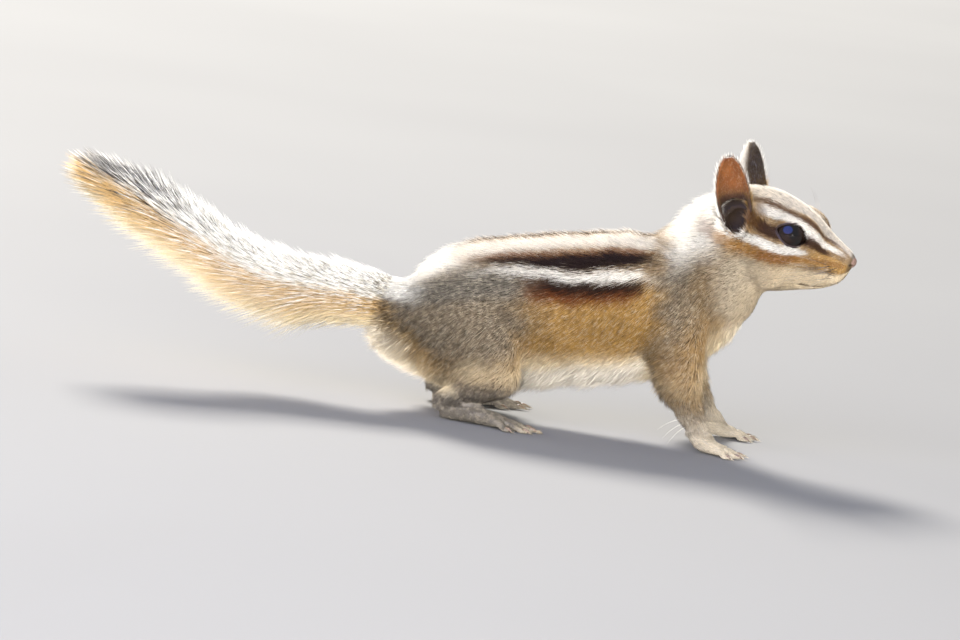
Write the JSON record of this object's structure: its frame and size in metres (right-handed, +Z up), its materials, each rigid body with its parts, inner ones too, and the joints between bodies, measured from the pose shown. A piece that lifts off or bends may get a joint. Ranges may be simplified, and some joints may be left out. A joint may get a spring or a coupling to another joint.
{
  "type": "chipmunk figure",
  "caption": "Life-size still model of a striped chipmunk standing on all fours, head raised and turned a little, ears up, bushy tail held out behind and rising.",
  "frame": {"origin": "on the floor, below the middle of the whole model seen from above", "axes": "+X towards the nose, +Y to the animal's own left, +Z up"},
  "size_m": [0.205, 0.0496, 0.0772],
  "materials": {
    "face_fur": "short striped fur",
    "body_fur": "short grizzled fur",
    "flank_fur": "short striped fur",
    "paw": "very short fur over skin, with horn claws",
    "ear_skin": "thin skin with fine fur",
    "tail_hair": "long banded hair",
    "eye": "wet black gloss"
  },
  "bodies": {
    "root": {"ear_left": "ear_skin", "ear_right": "ear_skin", "eye_left": "eye", "eye_right": "eye", "foreleg_left": "body_fur", "foreleg_right": "body_fur", "forepaw_left": "paw", "forepaw_right": "paw", "head": "face_fur", "hind_foot_left": "paw", "hind_foot_right": "paw", "hind_leg_left": "body_fur", "hind_leg_right": "body_fur", "neck": "body_fur", "tail_middle": "tail_hair", "tail_root": "tail_hair", "tail_tip": "tail_hair", "torso": "flank_fur"}
  },
  "joints": []
}
